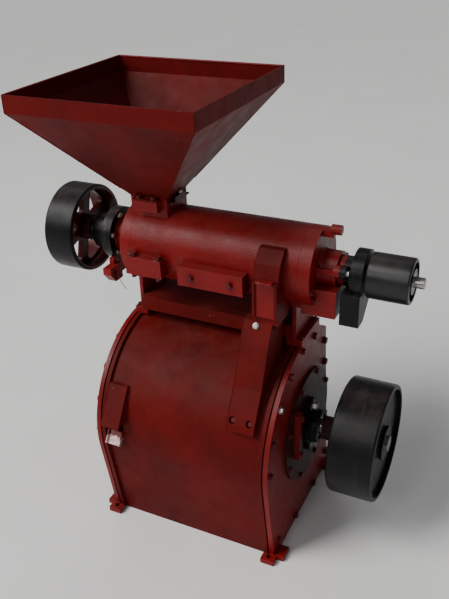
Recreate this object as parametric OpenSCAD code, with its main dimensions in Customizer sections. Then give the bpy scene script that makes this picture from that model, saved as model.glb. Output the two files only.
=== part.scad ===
// Farm mill: a hopper and a small hulling cylinder stand on a D-shaped hammer mill casing.
// X runs along both shafts, Y towards the flat back and Z up. The origin is on the floor,
// at the centre of the four anchor holes. All lengths are in millimetres.

/* [Mill casing] */
// Height of the rotor shaft above the floor
mill_h = 285; // [283:1:287]
// Radius of the end plates around the rotor shaft
rim_r = 260; // [258:1:262]
// Step from the rim of an end plate down to the wrapper sheet
rim_step = 8; // [6:1:9]
// Thickness of the wrapper sheet and of the back cover
sheet_t = 6; // [5:1:6]
// Thickness of an end plate
plate_t = 12; // [10:1:12]
// Outer face of the left end plate, left of the middle
mill_left = 240; // [238:1:242]
// Outer face of the right end plate, right of the middle
mill_right = 240; // [238:1:242]
// Depth of the base in front of the rotor shaft
base_front = 217; // [214:1:220]
// Depth of the base behind the rotor shaft
base_back = 194; // [192:1:198]
// Depth of the flat back where it meets the round top
back_top = 144; // [142:1:148]
// Distance from the middle to an anchor hole, along the shafts
anchor_x = 230; // [228:1:232]
// Distance from the middle to an anchor hole, across the shafts
anchor_y = 228; // [227:1:231]
// Radius of an anchor hole
anchor_hole_r = 7; // [5:1:7]

/* [Rotor] */
// Radius of the rotor shaft
rotor_shaft_r = 20; // [18:1:21]
// Radius of the rotor discs
disc_r = 88; // [84:1:90]
// Radius of the circle that the hammer pins stand on
pin_circle_r = 66; // [64:1:68]
// Radius of a hammer pin
pin_r = 7; // [6:1:7]
// Radius that the hammer tips sweep
sweep_r = 130; // [120:1:132]
// Width of a hammer
hammer_w = 26; // [22:1:28]
// Inner radius of the perforated screen
screen_r = 140; // [138:1:140]
// Radius of the large flat-belt pulley
mill_pulley_r = 151; // [148:1:154]
// Width of the large flat-belt pulley
mill_pulley_w = 114; // [110:1:116]

/* [Hulling cylinder] */
// Height of the cylinder's shaft above the floor
feed_h = 747; // [745:1:749]
// Outer radius of the cylinder
casing_r = 96; // [95:1:97]
// Wall thickness of the cylinder
casing_t = 11; // [10:1:12]
// Left end of the cylinder
casing_left = 195; // [194:1:197]
// Right end of the cylinder
casing_right = 243; // [241:1:244]
// Radius of the cylinder's shaft
feed_shaft_r = 17.5; // [16:0.5:18]
// Radius of the ribbed roller's body
roller_r = 56; // [50:1:57]
// Height of a roller rib
rib_h = 7; // [5:1:7]
// Number of roller ribs
rib_count = 6; // [4:1:8]
// Radius of the left flat-belt pulley
left_pulley_r = 115; // [110:1:118]
// Radius of the small right flat-belt pulley
right_pulley_r = 54; // [50:1:56]

/* [Hopper] */
// Side of the square hopper rim
hopper_w = 475; // [460:1:480]
// Height of the hopper rim above the floor
hopper_top = 1148; // [1140:1:1160]
// Height of the upright band under the rim
hopper_band = 41; // [35:1:45]
// Side of the square throat
throat_w = 132; // [128:1:134]
// Distance of the hopper's middle left of the origin
hopper_x = 157; // [155:1:159]
// Thickness of the hopper sheet
hopper_t = 3; // [2:0.5:3]

/* [Hidden] */
$fn = 72;

red = [0.55, 0.10, 0.11];
deep_red = [0.40, 0.07, 0.07];
black = [0.06, 0.06, 0.07];
steel = [0.62, 0.62, 0.60];
dark_steel = [0.32, 0.31, 0.30];

fit = 0.05;            // radial clearance of a shaft in its ring
gap = 0.3;             // clearance between pieces that don't touch
far = 700;             // reach of a cutting shape past everything
gasket_t = 4;
ring_t = 10;           // thickness of a wrapper flange
ring_w = 40;           // depth of a wrapper flange, inwards from the rim
bolt_inset = 17;       // casing bolts' distance in from the rim
wrap_l = -mill_left + plate_t + gasket_t;
wrap_r = mill_right - plate_t - gasket_t;
sheet_in = rim_step + sheet_t;
corner_z = mill_h + sqrt(rim_r * rim_r - back_top * back_top);
lean = (base_back - back_top) / corner_z;
tilt = atan(lean);

// Depth of the flat back at height z, moved in by inset
function back_y(z, inset) = base_back - lean * z - inset / cos(tilt);
// Where a line from the front foot touches a circle of radius r about the shaft
function touch_angle(r, foot) =
    atan2(-mill_h, -foot) + 360 - acos(r / norm([foot, mill_h]));

// ---- shared shapes ----

// Extrudes a (Y, Z) outline from x0 to x1
module along_x(x0, x1) {
    translate([x0, 0, 0]) rotate([90, 0, 90]) linear_extrude(x1 - x0) children();
}

module box(x0, x1, y0, y1, z0, z1) {
    translate([x0, y0, z0]) cube([x1 - x0, y1 - y0, z1 - z0]);
}

// Round bar along X
module rod(x0, x1, r, y = 0, z = feed_h) {
    translate([x0, y, z]) rotate([0, 90, 0]) cylinder(h = x1 - x0, r = r);
}

module tube(x0, x1, r_out, r_in, y = 0, z = feed_h) {
    difference() {
        rod(x0, x1, r_out, y, z);
        rod(x0 - 1, x1 + 1, r_in, y, z);
    }
}

// Hex-headed bolt with a washer: the face it clamps is at z = 0 and its shank goes down
module hex_bolt(d, shank) {
    washer_t = 0.2 * d;
    translate([0, 0, -shank]) cylinder(h = shank + washer_t, d = d);
    cylinder(h = washer_t, d = 2 * d);
    cylinder(h = washer_t + 0.65 * d, d = 1.8 * d, $fn = 6);
}

module bolt_hole(d, shank) {
    translate([0, 0, -shank - gap]) cylinder(h = shank + gap + 1, d = d + 2 * gap);
}

// Turns a bolt's own axis towards +X, -X or -Y
module to_right() { rotate([0, 90, 0]) children(); }
module to_left() { rotate([0, -90, 0]) children(); }
module to_front() { rotate([90, 0, 0]) children(); }

// Places children on a circle about the X axis at height h, in the plane of x
module ring_sites(x, r, angles, h = feed_h) {
    for (a = angles) translate([x, r * cos(a), h + r * sin(a)]) children();
}

// ---- mill casing ----

// D-shaped outline of the mill in (Y, Z), moved in by inset and cut at floor_z
module mill_outline(inset, floor_z = 0) {
    r = rim_r - inset;
    foot = base_front - inset;
    a = touch_angle(r, foot);
    intersection() {
        translate([0, mill_h]) union() {
            circle(r);
            polygon([[r * cos(a), r * sin(a)], [-foot, -mill_h], [base_back, -mill_h],
                [base_back, 0], [0, 0]]);
        }
        polygon([[-far, floor_z], [back_y(floor_z, inset), floor_z],
            [back_y(far, inset), far], [-far, far]]);
    }
}

rim_angles = [78, 98, 118, 138, 158, 178];
edge_points = concat([[-base_front + 28, 40], [-70, 20], [70, 20]],
    [for (z = [60, 170, 395, 465]) [back_y(z, bolt_inset), z]]);

// Casing bolt places in (Y, Z), in the plane of x
module casing_sites(x) {
    ring_sites(x, rim_r - bolt_inset, rim_angles, mill_h) children();
    for (p = edge_points) translate([x, p[0], p[1]]) children();
}

casing_bolt_d = 10;
casing_bolt_shank = plate_t + gasket_t + 8;
module casing_holes() {
    casing_sites(-mill_left) to_left() bolt_hole(casing_bolt_d, casing_bolt_shank);
    casing_sites(mill_right) to_right() bolt_hole(casing_bolt_d, casing_bolt_shank);
}

back_bolt_d = 8;
back_bolt_xs = [-195, -65, 65, 203];
back_bolt_zs = [50, 250, 450];
module back_sites() {
    for (x = back_bolt_xs, z = back_bolt_zs)
        if (z != 250 || x == back_bolt_xs[0] || x == back_bolt_xs[3])
            translate([x, back_y(z, rim_step - sheet_t), z]) rotate([tilt - 90, 0, 0]) children();
}
module back_holes() {
    back_sites() bolt_hole(back_bolt_d, sheet_t + 5);
}

module back_slab(x0, x1, z0, z1, outer, inner) {
    along_x(x0, x1) polygon([[back_y(z0, outer), z0], [back_y(z1, outer), z1],
        [back_y(z1, inner), z1], [back_y(z0, inner), z0]]);
}

// Inlet window under the chute and outlet window under the spout
inlet_x = [133, 189];
outlet_x = [-207, -165];
module wrapper_windows() {
    box(inlet_x[0], inlet_x[1], -178, -72, 400, 560);
    box(outlet_x[0], outlet_x[1], -far / 2, -150, 306, 412);
    back_slab(-178, 186, 66, 434, -1, sheet_in + 30);
}

module mill_wrapper() {
    color(red) difference() {
        union() {
            along_x(wrap_l, wrap_r) mill_outline(rim_step);
            along_x(wrap_l, wrap_l + ring_t) mill_outline(0);
            along_x(wrap_r - ring_t, wrap_r) mill_outline(0);
        }
        along_x(wrap_l - 1, wrap_r + 1) mill_outline(ring_w, ring_w);
        rod(wrap_l - 1, wrap_r + 1, screen_r + screen_t + gap, 0, mill_h);
        along_x(wrap_l + ring_t, wrap_r - ring_t) mill_outline(sheet_in, sheet_t);
        wrapper_windows();
        casing_holes();
        back_holes();
        chute_holes();
    }
}

module mill_back_cover() {
    color(red) difference() {
        back_slab(wrap_l + ring_t + 1, wrap_r - ring_t - 1, 16, 478, rim_step - sheet_t, rim_step);
        back_holes();
    }
}

module back_cover_bolts() {
    color(dark_steel) back_sites() hex_bolt(back_bolt_d, sheet_t + 5);
}

module casing_gaskets() {
    color(black) for (x = [wrap_l - gasket_t, wrap_r])
        difference() {
            along_x(x, x + gasket_t) mill_outline(rim_step - 2);
            along_x(x - 1, x + gasket_t + 1) mill_outline(ring_w, ring_w);
            rod(x - 1, x + gasket_t + 1, screen_r + screen_t + gap, 0, mill_h);
            casing_holes();
        }
}

module casing_bolts() {
    color(dark_steel) {
        casing_sites(-mill_left) to_left() hex_bolt(casing_bolt_d, casing_bolt_shank);
        casing_sites(mill_right) to_right() hex_bolt(casing_bolt_d, casing_bolt_shank);
    }
}

// Two feet cast on an end plate whose outer face is at x; side is -1 on the left and 1 on the right.
// Each is an L: a lug in front of or behind the plate, and a short toe beside it.
lug_t = 14;
lug_in = 28;             // reach of a lug inside the plate's outer face
lug_out = 8;
lug_slack = 2.6;         // room for the casing's slope in front of it
lug_end = anchor_y + 16;
toe_out = 26;
toe_len = 38;
module feet(x, side) {
    for (front = [-1, 1]) {
        base = front < 0 ? -base_front : base_back;
        out = front < 0 ? lug_out : 0;
        xs = side > 0 ? [x - lug_in, x + out] : [x - out, x + lug_in];
        root = side > 0 ? [x - plate_t, x + out] : [x - out, x + plate_t];
        toe = side > 0 ? [x - 1, x + toe_out] : [x - toe_out, x + 1];
        ys = front < 0 ? [-lug_end, base - lug_slack] : [base + gap, lug_end];
        root_ys = front < 0 ? [-lug_end, base + 2] : [base - 2, lug_end];
        toe_ys = front < 0 ? [base - 2, base + toe_len] : [base - toe_len, base + 2];
        box(xs[0], xs[1], ys[0], ys[1], 0, lug_t);
        box(root[0], root[1], root_ys[0], root_ys[1], 0, lug_t);
        box(toe[0], toe[1], toe_ys[0], toe_ys[1], 0, lug_t);
    }
}
module anchor_holes() {
    for (x = [-anchor_x, anchor_x], y = [-anchor_y, anchor_y])
        translate([x, y, -1]) cylinder(h = lug_t + 2, r = anchor_hole_r);
}

bearing_half = 58;       // half the spacing of a mill bearing's two bolts
mill_bolt_d = 14;
cover_t = 8;
mill_cover_face = mill_right + cover_t;
mill_bearing_shank = 18;
module mill_bearing_sites(x) {
    for (s = [-1, 1]) translate([x, 0, mill_h + s * bearing_half]) children();
}
mill_flange_t = 12;
module mill_bearing_holes() {
    mill_bearing_sites(-mill_left - mill_flange_t) to_left()
        bolt_hole(mill_bolt_d, mill_bearing_shank);
    mill_bearing_sites(mill_cover_face + mill_flange_t) to_right()
        bolt_hole(mill_bolt_d, mill_bearing_shank);
}

module mill_left_plate() {
    color(red) difference() {
        union() {
            along_x(-mill_left, -mill_left + plate_t) mill_outline(0);
            feet(-mill_left, -1);
        }
        rod(-mill_left - 1, -mill_left + plate_t + 1, rotor_shaft_r + 8, 0, mill_h);
        casing_holes();
        mill_bearing_holes();
        anchor_holes();
    }
}

door_r = 134;            // radius of the rotor opening in the right end plate
module mill_right_plate() {
    color(red) difference() {
        union() {
            along_x(mill_right - plate_t, mill_right) mill_outline(0);
            feet(mill_right, 1);
        }
        rod(mill_right - plate_t - 1, mill_right + 1, door_r, 0, mill_h);
        casing_holes();
        door_holes();
        anchor_holes();
    }
}

door_cover_r = 152;
door_bolt_d = 8;
door_angles = [22.5 : 45 : 337.5];
module door_sites() {
    ring_sites(mill_cover_face, (door_r + door_cover_r) / 2, door_angles, mill_h) to_right() children();
}
module door_holes() {
    door_sites() bolt_hole(door_bolt_d, cover_t + 8);
}

module mill_end_cover() {
    color(deep_red) difference() {
        rod(mill_right, mill_cover_face, door_cover_r, 0, mill_h);
        rod(mill_right - 1, mill_cover_face + 1, rotor_shaft_r + 8, 0, mill_h);
        door_holes();
        mill_bearing_holes();
        clamp_holes();
    }
}

module end_cover_bolts() {
    color(dark_steel) door_sites() hex_bolt(door_bolt_d, cover_t + 8);
}

// Upright bar that stiffens the end cover in front of the bearing
clamp_y = -98;
clamp_z = [246, 384];
clamp_t = 16;
module clamp_holes() {
    for (z = [clamp_z[0] + 14, clamp_z[1] - 14])
        translate([mill_cover_face + clamp_t, clamp_y, z]) to_right()
            bolt_hole(door_bolt_d, clamp_t + 6);
}
module cover_clamp_bar() {
    color(red) {
        difference() {
            box(mill_cover_face, mill_cover_face + clamp_t, clamp_y - 10, clamp_y + 10,
                clamp_z[0], clamp_z[1]);
            clamp_holes();
        }
    }
    color(dark_steel) for (z = [clamp_z[0] + 14, clamp_z[1] - 14])
        translate([mill_cover_face + clamp_t, clamp_y, z]) to_right()
            hex_bolt(door_bolt_d, clamp_t + 6);
}

// Divides the inlet space at the right from the meal space around the screen
partition_x = 104;
module inlet_partition() {
    color(dark_steel) difference() {
        along_x(partition_x, partition_x + 5) mill_outline(sheet_in + gap, sheet_t + gap);
        rod(partition_x - 1, partition_x + 6, screen_r + screen_t + gap, 0, mill_h);
    }
}

screen_t = 3;
screen_left = -mill_left + plate_t + gap;
screen_right = partition_x + 16;
module mill_screen() {
    color(steel) difference() {
        tube(screen_left, screen_right, screen_r + screen_t, screen_r, 0, mill_h);
        for (x = [-205 : 60 : 95], a = [0 : 18 : 342])
            translate([x, 0, mill_h]) rotate([a, 0, 0])
                box(0, 44, -5, 5, screen_r - 5, screen_r + 8);
    }
}

// ---- mill bearings and rotor ----

mill_ring_r = 34;
mill_bearing_reach = 36;
module mill_bearing(x, side) {
    x_flange = side > 0 ? x : x - mill_flange_t;
    x_body = side > 0 ? x : x - mill_bearing_reach;
    difference() {
        union() {
            rod(x_flange, x_flange + mill_flange_t, 50, 0, mill_h);
            box(x_flange, x_flange + mill_flange_t, -24, 24,
                mill_h - bearing_half, mill_h + bearing_half);
            for (s = [-1, 1]) rod(x_flange, x_flange + mill_flange_t, 24, 0, mill_h + s * bearing_half);
            rod(x_body, x_body + mill_bearing_reach, 44, 0, mill_h);
        }
        rod(x_body - 1, x_body + mill_bearing_reach + 1, mill_ring_r, 0, mill_h);
        mill_bearing_holes();
    }
}
module mill_bearings() {
    color(black) {
        mill_bearing(-mill_left, -1);
        mill_bearing(mill_cover_face, 1);
    }
}

module mill_bearing_rings() {
    color(steel) for (x = [-mill_left - mill_bearing_reach + 4, mill_cover_face + 4])
        tube(x, x + mill_bearing_reach - 8, mill_ring_r, rotor_shaft_r + fit, 0, mill_h);
}

module mill_bearing_bolts() {
    color(steel) {
        mill_bearing_sites(-mill_left - mill_flange_t) to_left()
            hex_bolt(mill_bolt_d, mill_bearing_shank);
        mill_bearing_sites(mill_cover_face + mill_flange_t) to_right()
            hex_bolt(mill_bolt_d, mill_bearing_shank);
    }
}

mill_pulley_x = 344;
rotor_left = -300;
rotor_right = mill_pulley_x + mill_pulley_w + 5;
key_w = 10;
key_x = [mill_pulley_x + 24, mill_pulley_x + mill_pulley_w - 24];
module rotor_key(grow) {
    box(key_x[0] - grow, key_x[1] + grow, -key_w / 2 - grow, key_w / 2 + grow,
        mill_h + rotor_shaft_r - 4 - grow, mill_h + rotor_shaft_r + 4 + grow);
}

module rotor_shaft() {
    color(steel) difference() {
        rod(rotor_left, rotor_right, rotor_shaft_r, 0, mill_h);
        rotor_key(fit);
    }
}

module mill_pulley_key() {
    color(dark_steel) rotor_key(0);
}

disc_t = 8;
disc_pitch = 65;
disc_x0 = -204;
disc_count = 5;
pin_angles = [45, 135, 225, 315];
function disc_x(i) = disc_x0 + i * disc_pitch;

module rotor_discs() {
    color(dark_steel) for (i = [0 : disc_count - 1])
        difference() {
            rod(disc_x(i), disc_x(i) + disc_t, disc_r, 0, mill_h);
            rod(disc_x(i) - 1, disc_x(i) + disc_t + 1, rotor_shaft_r + fit, 0, mill_h);
            ring_sites(disc_x(i) - 1, pin_circle_r, pin_angles, mill_h)
                rotate([0, 90, 0]) cylinder(h = disc_t + 2, r = pin_r + fit);
        }
}

module rotor_spacers() {
    color(steel) for (i = [0 : disc_count - 2])
        tube(disc_x(i) + disc_t, disc_x(i + 1), rotor_shaft_r + 12, rotor_shaft_r + fit, 0, mill_h);
}

pin_head_t = 4;
module hammer_pins() {
    x_end = disc_x(disc_count - 1) + disc_t;
    color(steel) for (a = pin_angles)
        translate([0, pin_circle_r * cos(a), mill_h + pin_circle_r * sin(a)]) {
            rod(disc_x0 - pin_head_t, x_end + pin_head_t, pin_r, 0, 0);
            rod(disc_x0 - pin_head_t, disc_x0, pin_r + 4, 0, 0);
            rod(x_end, x_end + pin_head_t, pin_r + 4, 0, 0);
        }
}

hammer_t = 6;
hammer_back = 14;
// One row of swinging hammers, two in each space between discs
module hammer_row(angle, shift) {
    color(dark_steel) for (i = [0 : disc_count - 2], step = [0, 24])
        translate([disc_x(i) + disc_t + shift + step, 0, mill_h]) rotate([angle, 0, 0])
            difference() {
                box(0, hammer_t, pin_circle_r - hammer_back, sweep_r, -hammer_w / 2, hammer_w / 2);
                rod(-1, hammer_t + 1, pin_r + 2 * fit, pin_circle_r, 0);
            }
}
module hammers_1() { hammer_row(pin_angles[0], 8); }
module hammers_2() { hammer_row(pin_angles[1], 18); }
module hammers_3() { hammer_row(pin_angles[2], 8); }
module hammers_4() { hammer_row(pin_angles[3], 18); }

collar_x = [292, 338];
collar_r = 31;
module shaft_collars() {
    color(deep_red) tube(collar_x[0], collar_x[1], collar_r, rotor_shaft_r + fit, 0, mill_h);
    color(steel) for (x = [disc_x0 - 17, disc_x(disc_count - 1) + disc_t])
        tube(x, x + 12, rotor_shaft_r + 12, rotor_shaft_r + fit, 0, mill_h);
}

pulley_rim_t = 12;
// Pulley rim along X from x0 to x1, with its outer edges broken by edge
module pulley_rim(x0, x1, r_out, r_in, edge, h) {
    w = x1 - x0;
    translate([x0, 0, h]) rotate([0, 90, 0]) rotate_extrude()
        polygon([[r_in, 0], [r_out - edge, 0], [r_out - edge / 3, edge / 3], [r_out, edge],
            [r_out, w - edge], [r_out - edge / 3, w - edge / 3], [r_out - edge, w], [r_in, w]]);
}

module mill_pulley() {
    x0 = mill_pulley_x;
    x1 = mill_pulley_x + mill_pulley_w;
    color(black) difference() {
        union() {
            pulley_rim(x0, x1, mill_pulley_r, mill_pulley_r - pulley_rim_t, 5, mill_h);
            rod(x1 - 26, x1 - 12, mill_pulley_r - pulley_rim_t + 1, 0, mill_h);
            rod(x0 + 14, x1 - 2, 44, 0, mill_h);
        }
        rod(x0 - 1, x1 + 1, rotor_shaft_r + fit, 0, mill_h);
        rotor_key(fit);
    }
}

// ---- mill outlet and feed chute ----

spout_x = [-213, -160];
spout_t = 4;
spout_top = [-219, 427];
spout_tip = [-280, 334];
module spout_outline(inset) {
    top = spout_top[1] - 0.6 * inset;
    low = spout_tip[1] - inset;
    polygon([[spout_top[0] + inset, top], [spout_tip[0] + 1.3 * inset, low], [-150, low], [-150, top]]);
}
module outlet_spout() {
    color(red) difference() {
        along_x(spout_x[0], spout_x[1]) spout_outline(0);
        along_x(spout_x[0] + spout_t, spout_x[1] - spout_t) spout_outline(spout_t);
        rod(spout_x[0] - 1, spout_x[1] + 1, rim_r - rim_step, 0, mill_h);
    }
}

// Worn steel lip that throws the meal clear of the casing, with two raised sides
module outlet_lip() {
    lip = [[-247, 304], [-268, 272], [-271, 274], [-250, 306]];
    cheek = [[-247, 304], [-268, 272], [-276, 278], [-257, 308]];
    color(steel) difference() {
        union() {
            along_x(outlet_x[0], outlet_x[1]) polygon(lip);
            for (x = [outlet_x[0], outlet_x[1] - 3]) along_x(x, x + 3) polygon(cheek);
        }
        rod(outlet_x[0] - 1, outlet_x[1] + 1, rim_r - rim_step, 0, mill_h);
    }
}

chute_low_x = [125, 197];
chute_top_x = [150, 211];
chute_t = 5;
chute_front = -124;
// Outer (Y, Z) outline of the chute below and above its shoulder, moved in by inset
module chute_low_outline(inset) {
    polygon([[-58 - inset, 640 - inset], [chute_front + inset, 640 - inset], [-152 + inset, 584],
        [-192 + inset, 492], [-236 + inset, 418], [-242 + inset, 398], [-205, 398], [-58 - inset, 450]]);
}
module chute_top_outline(inset) {
    polygon([[-58 - inset, 636 - 3 * inset], [chute_front + inset, 636 - 3 * inset],
        [chute_front + inset, 752 - inset], [-113 + inset, 784 - inset], [-86 + inset, 812 - inset],
        [-58 - inset, 812 - inset]]);
}
discharge_window = [[chute_top_x[0] + 12, chute_top_x[1] - 12], [668, 735]];

chute_bolt_d = 8;
chute_bolt_xs = [chute_low_x[0] + 14, chute_low_x[1] - 14];
chute_bolt_angle = 149;
chute_seat_r = 258;      // radius of the seat that a chute bolt's head rests on
module chute_sites() {
    for (x = chute_bolt_xs)
        translate([x, 0, mill_h]) rotate([chute_bolt_angle - 90, 0, 0])
            translate([0, 0, chute_seat_r]) children();
}
chute_shank = 10;
module chute_holes() {
    chute_sites() bolt_hole(chute_bolt_d, chute_shank);
}

// Bolt through the sloping front under the chute's shoulder
joint_bolt_d = 8;
joint_bolt_shank = 12;
joint_bolt_tilt = 63.435;
module joint_bolt_site() {
    translate([158, chute_front - 5, 630]) rotate([joint_bolt_tilt, 0, 0]) children();
}

module feed_chute() {
    color(red) difference() {
        union() {
            along_x(chute_low_x[0], chute_low_x[1]) chute_low_outline(0);
            along_x(chute_top_x[0], chute_top_x[1]) chute_top_outline(0);
            // Guide strips of the discharge gate
            for (x = [chute_top_x[0], chute_top_x[1] - 7])
                box(x, x + 7, chute_front - 9, chute_front + 1, 655, 745);
        }
        along_x(chute_low_x[0] + chute_t, chute_low_x[1] - chute_t) intersection() {
            chute_low_outline(chute_t);
            translate([-far, 480]) square([far, far]);
        }
        along_x(chute_top_x[0] + chute_t, chute_top_x[1] - chute_t) chute_top_outline(chute_t);
        box(discharge_window[0][0], discharge_window[0][1], chute_front - 10, chute_front + 10,
            discharge_window[1][0], discharge_window[1][1]);
        // Slots in the guide strips
        box(chute_top_x[0] + 3, chute_top_x[1] - 3, chute_front - 5 - gap, chute_front, 654, 746);
        rod(chute_low_x[0] - 1, chute_top_x[1] + 1, casing_r + gap, 0, feed_h);
        rod(chute_low_x[0] - 1, chute_top_x[1] + 1, rim_r - rim_step, 0, mill_h);
        chute_sites() cylinder(h = 40, d = 2 * chute_bolt_d + 2);
        chute_holes();
        joint_bolt_site() bolt_hole(joint_bolt_d, joint_bolt_shank);
    }
}

// Sliding plate on the chute's front, with a finger tab
module discharge_gate() {
    color(red) {
        box(chute_top_x[0] + 3 + gap, chute_top_x[1] - 3 - gap, chute_front - 5, chute_front - gap,
            656, 746);
        box(chute_top_x[0] + 10, chute_top_x[1] - 10, chute_front - 16, chute_front - gap, 746, 751);
    }
}

module chute_bolts() {
    color(dark_steel) chute_sites() hex_bolt(chute_bolt_d, chute_shank);
}

module chute_joint_bolt() {
    color(steel) joint_bolt_site() hex_bolt(joint_bolt_d, joint_bolt_shank);
}

// ---- supports between the mill and the cylinder ----

table_z = [590, 602];
table_x = [-200, 216];
table_front = -56;
table_back = 90;
left_stand_x = [-229, -192];
right_stand_x = [200, 242];
left_web_x = [-210, -200];
right_web_x = [216, 226];
stand_front = -44;
stand_back = 82;
stand_bolt_d = 7;
stand_shank = 10;

module stand(x0, x1, web) {
    difference() {
        union() {
            // Upright web with a saddle for the cylinder
            along_x(web[0], web[1]) polygon([[stand_front, 500],
                [stand_back, 500], [stand_back, 690], [stand_front, 690]]);
            // Foot on the rim of the mill, and the curved pad under the cylinder
            box(x0, x1, stand_front, stand_back, 500, 560);
            intersection() {
                rod(x0, x1, casing_r + 10);
                box(x0, x1, stand_front, stand_back, 600, 690);
            }
        }
        rod(x0 - 1, x1 + 1, rim_r + fit, 0, mill_h);
        rod(x0 - 1, x1 + 1, casing_r + fit, 0, feed_h);
        stand_sites() bolt_hole(stand_bolt_d, stand_shank);
    }
}
module left_stand() { color(red) stand(left_stand_x[0], left_stand_x[1], left_web_x); }
module right_stand() { color(red) stand(right_stand_x[0], right_stand_x[1], right_web_x); }

module stand_sites() {
    for (x = [left_stand_x[0] + 8, right_stand_x[1] - 8], y = [stand_front + 12, stand_back - 12])
        translate([x, y, 560]) children();
}
module stand_bolts() {
    color(steel) stand_sites() hex_bolt(stand_bolt_d, stand_shank);
}

// Tray under the cylinder that catches the bran
module support_table() {
    color(red) difference() {
        union() {
            box(table_x[0], table_x[1], table_front, table_back, table_z[0], table_z[1]);
            box(table_x[0], table_x[1], table_front, table_front + 8, table_z[0] - 26, table_z[1]);
            box(table_x[0], table_x[1], table_back - 8, table_back, table_z[0] - 26, table_z[1]);
        }
        box(chute_low_x[0] - 1, chute_low_x[1] + 30, -far, table_front + 4, 0, far);
    }
}

// ---- hulling cylinder ----

flange_t = 23;
split_z = feed_h - 25;    // where the cover meets the lower casing
flange_y = 123;
flange_in = -casing_r + 12;   // where a flange's root meets the cylinder wall
front_flange_x = [-193, -94];
back_flange_x = [-193, 236];
bran_x = [-60, 120];
bran_y = 42;
blade_z = 4;             // half the thickness of the blade
cover_bolt_d = 12;
cover_bolt_shank = 2 * flange_t;

module cover_sites() {
    for (x = [-178, -108]) translate([x, -flange_y + 11, split_z + flange_t]) children();
    for (x = [-170, -60, 60, 170]) translate([x, flange_y - 12, split_z + flange_t]) children();
}
module cover_holes() {
    cover_sites() bolt_hole(cover_bolt_d, cover_bolt_shank);
}

holder_x = [-46, 124];
holder_z = 25;           // half the height of the blade holder
holder_front = -127;
blade_x = [-40, 118];
blade_tip = -64;
blade_out = -116;
blade_travel = 8;
blade_screw_xs = [-12, 90];
blade_screw_d = 10;

module blade_slot() {
    box(blade_x[0] - gap, blade_x[1] + gap, -far, blade_tip + 10,
        split_z - blade_z - gap, split_z + blade_z + gap);
}
module discharge_cut() {
    box(chute_top_x[0] + chute_t, chute_top_x[1] - chute_t, -far, -20, feed_h - 70, feed_h + 18);
}
module shell() {
    tube(-casing_left, casing_right, casing_r, casing_r - casing_t);
}

module lower_casing() {
    color(red) difference() {
        union() {
            intersection() {
                shell();
                box(-far, far, -far, far, 0, split_z);
            }
            box(front_flange_x[0], front_flange_x[1], -flange_y, flange_in, split_z - flange_t, split_z);
            box(back_flange_x[0], back_flange_x[1], -flange_in, flange_y, split_z - flange_t, split_z);
        }
        rod(-far, far, casing_r - casing_t, 0, feed_h);
        holder_cut();
        blade_slot();
        discharge_cut();
        box(bran_x[0], bran_x[1], -bran_y, bran_y, 600, feed_h - 50);
        cover_holes();
        head_holes();
    }
}

// Flat seat for the blade holder on the side of the cylinder
seat_y = -90;
module holder_cut() {
    box(holder_x[0] - gap, holder_x[1] + gap, -far, seat_y,
        split_z - holder_z - gap, split_z + holder_z + gap);
}

inlet_w = 76;           // side of the inlet opening
neck_w = 100;            // side of the neck, the gate frame and the hopper's flange
ear_y = 70;              // reach of the bolt ears in front of and behind the neck
ear_x = 34;              // half the length of an ear
neck_top = 858;
module upper_cover() {
    color(red) difference() {
        union() {
            intersection() {
                shell();
                box(-far, far, -far, far, split_z, 2 * far);
            }
            box(front_flange_x[0], front_flange_x[1], -flange_y, flange_in, split_z, split_z + flange_t);
            box(back_flange_x[0], back_flange_x[1], -flange_in, flange_y, split_z, split_z + flange_t);
            // Neck under the hopper, with an ear in front and behind
            difference() {
                box(-hopper_x - neck_w / 2, -hopper_x + neck_w / 2, -neck_w / 2, neck_w / 2,
                    feed_h + 50, neck_top);
                box(-far, -casing_left, -far, far, 0, feed_h + casing_r + 2);
            }
            box(-hopper_x - ear_x, -hopper_x + ear_x, -ear_y, ear_y, neck_top - 12, neck_top);
        }
        rod(-far, far, casing_r - casing_t, 0, feed_h);
        box(-hopper_x - inlet_w / 2, -hopper_x + inlet_w / 2, -inlet_w / 2, inlet_w / 2,
            feed_h + 40, neck_top + 1);
        holder_cut();
        blade_slot();
        discharge_cut();
        cover_holes();
        hopper_holes();
    }
}

module cover_bolts() {
    color(steel) cover_sites() hex_bolt(cover_bolt_d, cover_bolt_shank);
    // Nuts under the flange
    color(steel) cover_sites() translate([0, 0, -cover_bolt_shank - 11]) {
        cylinder(h = 11, d = 1.8 * cover_bolt_d, $fn = 6);
    }
}

huller_screen_r = 80;
module huller_screen() {
    color(steel) difference() {
        intersection() {
            tube(-90, 140, huller_screen_r + 2, huller_screen_r);
            box(-far, far, -far, far, 0, split_z - 12);
        }
        for (x = [-84 : 20 : 116], a = [-60 : 15 : 60])
            translate([x, 0, feed_h]) rotate([a, 0, 0])
                box(0, 14, -1.5, 1.5, -huller_screen_r - 5, -huller_screen_r + 5);
    }
}

module huller_blade() {
    color(steel) box(blade_x[0], blade_x[1], blade_out, blade_tip, split_z - blade_z, split_z + blade_z);
}

module blade_screw_sites() {
    for (x = blade_screw_xs) translate([x, holder_front - gap, split_z]) to_front() children();
}
module blade_screws() {
    color(steel) blade_screw_sites() hex_bolt(blade_screw_d, blade_out - holder_front + gap);
}

module blade_holder() {
    color(red) difference() {
        box(holder_x[0], holder_x[1], holder_front, seat_y, split_z - holder_z, split_z + holder_z);
        box(blade_x[0] - gap, blade_x[1] + gap, blade_out - blade_travel - gap, 0,
            split_z - blade_z - gap, split_z + blade_z + gap);
        blade_screw_sites() translate([0, 0, -20]) cylinder(h = 30, d = blade_screw_d + 1);
    }
}

// ---- heads and bearings of the cylinder ----

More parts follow.
